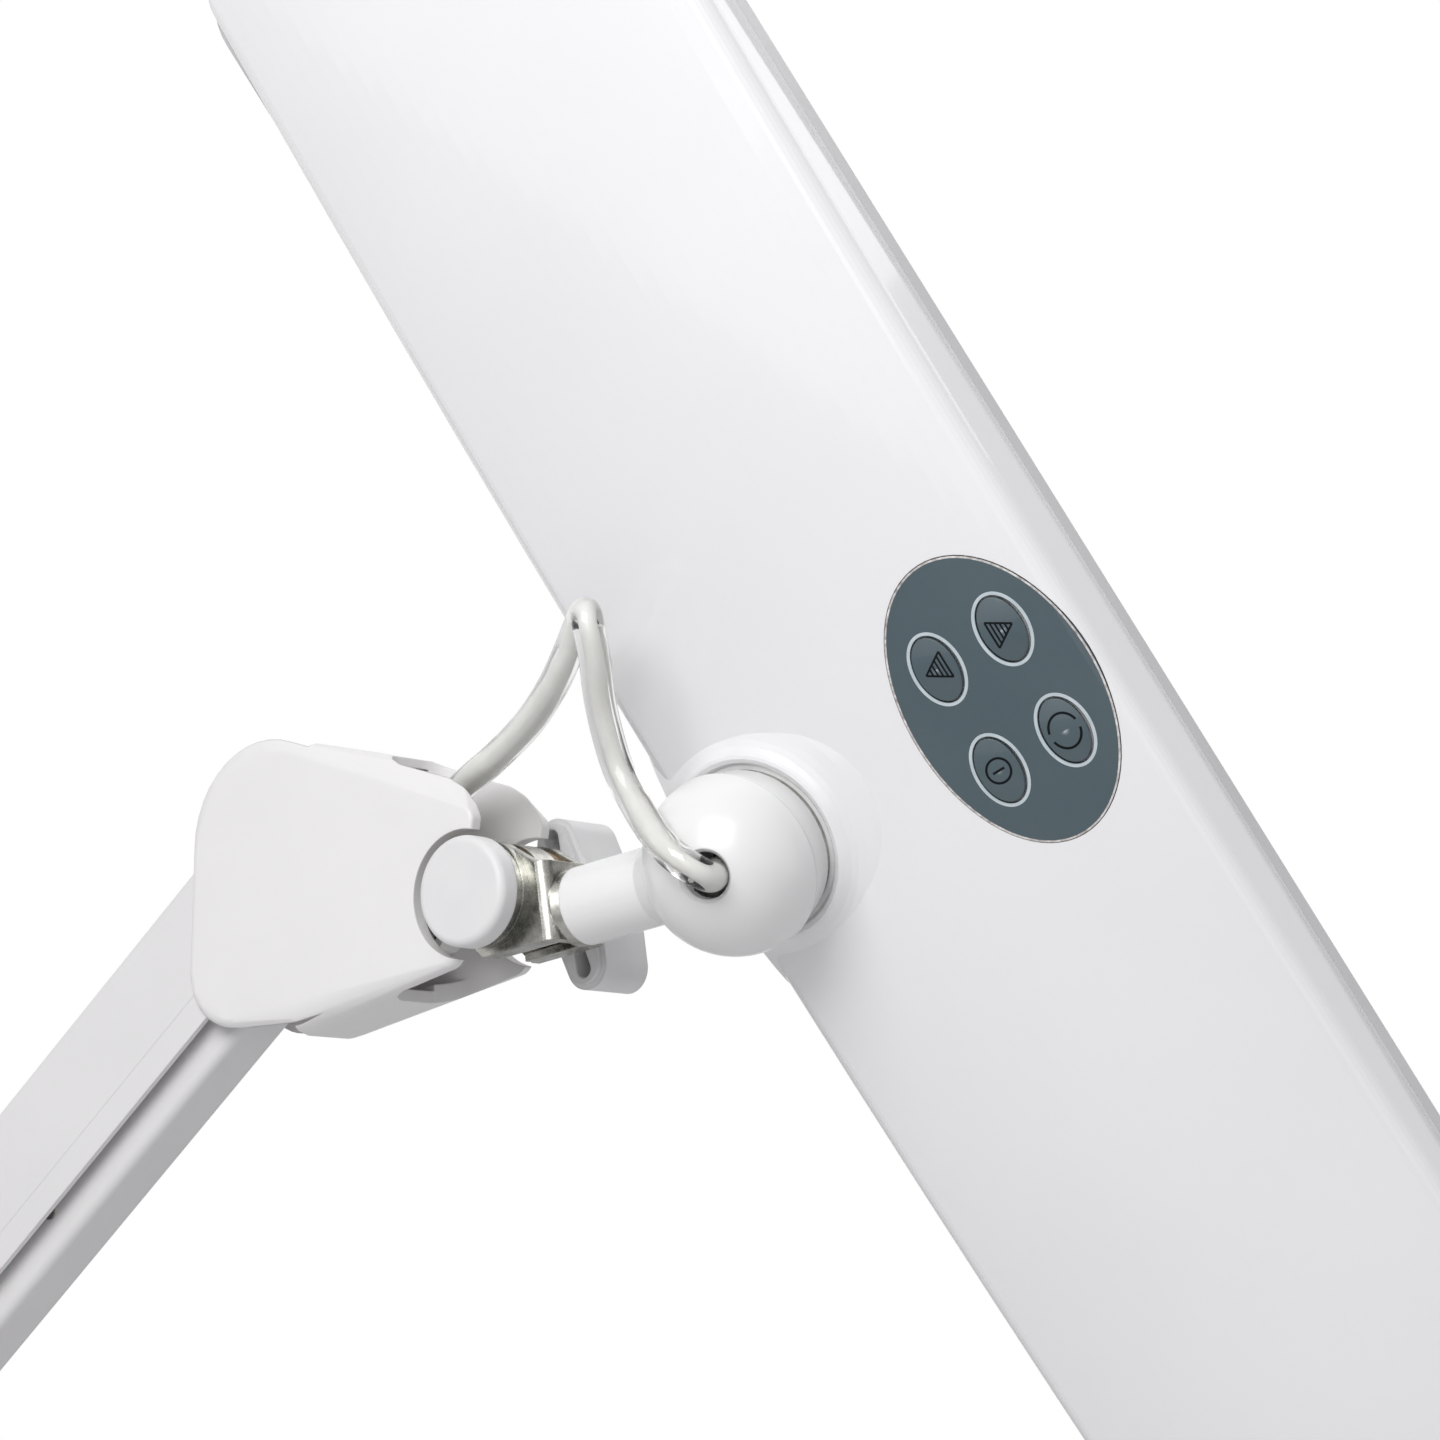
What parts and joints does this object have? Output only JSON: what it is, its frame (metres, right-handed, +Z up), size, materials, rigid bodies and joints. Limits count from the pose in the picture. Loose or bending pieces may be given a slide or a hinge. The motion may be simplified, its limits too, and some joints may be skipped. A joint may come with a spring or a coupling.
{
  "type": "led desk lamp",
  "caption": "Long flat LED desk lamp head on a tilting ball joint, carried by a folding parallelogram arm on a desk clamp.",
  "frame": {"origin": "desk face under the clamp's upper jaw, on the post's axis", "axes": "+Z up along the post; +X from the post towards the head in the arms' plane at rest; +Y the wing knob's side"},
  "size_m": [0.5601, 0.1801, 1.0118],
  "materials": {
    "clamp_paint": "powder coat",
    "soft_rubber": "matte",
    "dark_plastic": "matte",
    "zinc_steel": "zinc plated",
    "satin_white": "satin",
    "knob_white": "satin",
    "arm_paint": "fine texture",
    "spring_steel": "oiled",
    "fibre": "fibre",
    "gloss_white": "high gloss",
    "cable_jacket": "clear jacket over a pale core",
    "opal": "opal",
    "board": "satin",
    "led_board": "satin",
    "keypad_film": "printed film"
  },
  "bodies": {
    "clamp": {"clamp_frame": "clamp_paint", "jaw_pad": "soft_rubber", "post_bush": "dark_plastic"},
    "pad": {"pressure_pad": "dark_plastic"},
    "screw": {"clamp_screw": "zinc_steel", "clamp_handle": "dark_plastic"},
    "base": {"base_post": "zinc_steel", "base_bracket": "zinc_steel", "base_housing": "satin_white", "base_screws": "zinc_steel", "supply_gland": "dark_plastic", "base_pins": "zinc_steel"},
    "lower_outer": {"lower_outer_channel": "arm_paint"},
    "lower_inner": {"lower_inner_channel": "arm_paint", "lower_spring": "spring_steel", "lower_spring_pins": "zinc_steel"},
    "elbow": {"elbow_bracket": "zinc_steel", "elbow_housing": "satin_white", "elbow_screws": "zinc_steel", "elbow_pins": "zinc_steel"},
    "upper_outer": {"upper_outer_channel": "arm_paint"},
    "upper_inner": {"upper_inner_channel": "arm_paint", "upper_spring": "spring_steel", "upper_spring_pins": "zinc_steel"},
    "head_knuckle": {"head_bracket": "zinc_steel", "head_housing": "satin_white", "knuckle_screws": "zinc_steel", "head_pins": "zinc_steel", "cable_clip": "dark_plastic", "jumper_cable": "cable_jacket", "friction_washers": "fibre"},
    "tilt": {"tilt_yoke": "zinc_steel", "tilt_bolt": "zinc_steel", "bolt_cap": "knob_white", "bolt_washers": "zinc_steel", "knob_washer": "zinc_steel", "ball_stem": "gloss_white", "stem_screw": "zinc_steel", "swivel_tube": "zinc_steel", "swivel_washer": "zinc_steel", "swivel_nut": "zinc_steel"},
    "knob": {"wing_knob": "knob_white", "knob_insert": "zinc_steel"},
    "head": {"head_cover": "gloss_white", "head_bezel": "gloss_white", "light_diffuser": "opal", "led_tray": "zinc_steel", "led_boards": "led_board", "driver_board": "board", "keypad_panel": "keypad_film", "keypad_board": "board", "cover_screws": "zinc_steel"},
    "dimmer": {"dimmer_key": "keypad_film"},
    "brighter": {"brighter_key": "keypad_film"},
    "power": {"power_key": "keypad_film"},
    "colour": {"colour_key": "keypad_film"}
  },
  "joints": [
    {"name": "pad_slide", "type": "slide", "parent": "clamp", "child": "pad", "axis": [0, 0, 1], "range_m": [-0.02, 0.02]},
    {"name": "screw_turn", "type": "hinge", "parent": "pad", "child": "screw", "pos_m": [0, 0, -0.06], "axis": [0, 0, 1], "range_deg": [-3700, 3700]},
    {"name": "post_swivel", "type": "hinge", "parent": "clamp", "child": "base", "pos_m": [0, 0, 0.03], "axis": [0, 0, 1], "range_deg": [-175, 175]},
    {"name": "lower_arm_lift", "type": "hinge", "parent": "base", "child": "lower_outer", "pos_m": [-0.0056, 0, 0.06766], "axis": [0, -1, 0], "range_deg": [-42, 35]},
    {"name": "lower_inner_pivot", "type": "hinge", "parent": "base", "child": "lower_inner", "pos_m": [0.008, 0, 0.074], "axis": [0, -1, 0], "range_deg": [-43, 36]},
    {"name": "elbow_level", "type": "hinge", "parent": "lower_outer", "child": "elbow", "pos_m": [-0.16619, 0, 0.41206], "axis": [0, -1, 0], "range_deg": [-36, 43]},
    {"name": "upper_arm_lift", "type": "hinge", "parent": "elbow", "child": "upper_outer", "pos_m": [-0.15619, 0, 0.44606], "axis": [0, -1, 0], "range_deg": [-42, 24]},
    {"name": "upper_inner_pivot", "type": "hinge", "parent": "elbow", "child": "upper_inner", "pos_m": [-0.14655, 0, 0.43457], "axis": [0, -1, 0], "range_deg": [-43, 25]},
    {"name": "head_level", "type": "hinge", "parent": "upper_outer", "child": "head_knuckle", "pos_m": [0.13491, 0, 0.69032], "axis": [0, -1, 0], "range_deg": [-25, 43]},
    {"name": "head_tilt", "type": "hinge", "parent": "head_knuckle", "child": "tilt", "pos_m": [0.18875, 0, 0.67283], "axis": [0, 1, 0], "range_deg": [-50, 60], "deforming": ["jumper_cable"]},
    {"name": "knob_turn", "type": "hinge", "parent": "tilt", "child": "knob", "pos_m": [0.18875, 0, 0.67283], "axis": [0, 1, 0], "continuous": true},
    {"name": "head_swivel", "type": "hinge", "parent": "tilt", "child": "head", "pos_m": [0.24344, 0, 0.67592], "axis": [0.0661, -0.9063, -0.4174], "range_deg": [-56, 32]},
    {"name": "dimmer_press", "type": "slide", "parent": "head", "child": "dimmer", "axis": [-0.3429, 0.8912, 0.2971], "range_m": [0, 0.0005], "stiffness_N_per_m": 400, "springref_m": -0.0005},
    {"name": "brighter_press", "type": "slide", "parent": "head", "child": "brighter", "axis": [-0.4164, 0.8719, 0.2576], "range_m": [0, 0.0005], "stiffness_N_per_m": 400, "springref_m": -0.0005},
    {"name": "power_press", "type": "slide", "parent": "head", "child": "power", "axis": [-0.3429, 0.8912, 0.2971], "range_m": [0, 0.0005], "stiffness_N_per_m": 400, "springref_m": -0.0005},
    {"name": "colour_press", "type": "slide", "parent": "head", "child": "colour", "axis": [-0.4164, 0.8719, 0.2576], "range_m": [0, 0.0005], "stiffness_N_per_m": 400, "springref_m": -0.0005}
  ],
  "couplings": [
    {"joint": "screw_turn", "follows": "pad_slide", "rad_per_m": 3141.6},
    {"joint": "lower_inner_pivot", "follows": "lower_arm_lift", "ratio": 1},
    {"joint": "elbow_level", "follows": "lower_arm_lift", "ratio": -1},
    {"joint": "upper_inner_pivot", "follows": "upper_arm_lift", "ratio": 1},
    {"joint": "head_level", "follows": "upper_arm_lift", "ratio": -1}
  ]
}
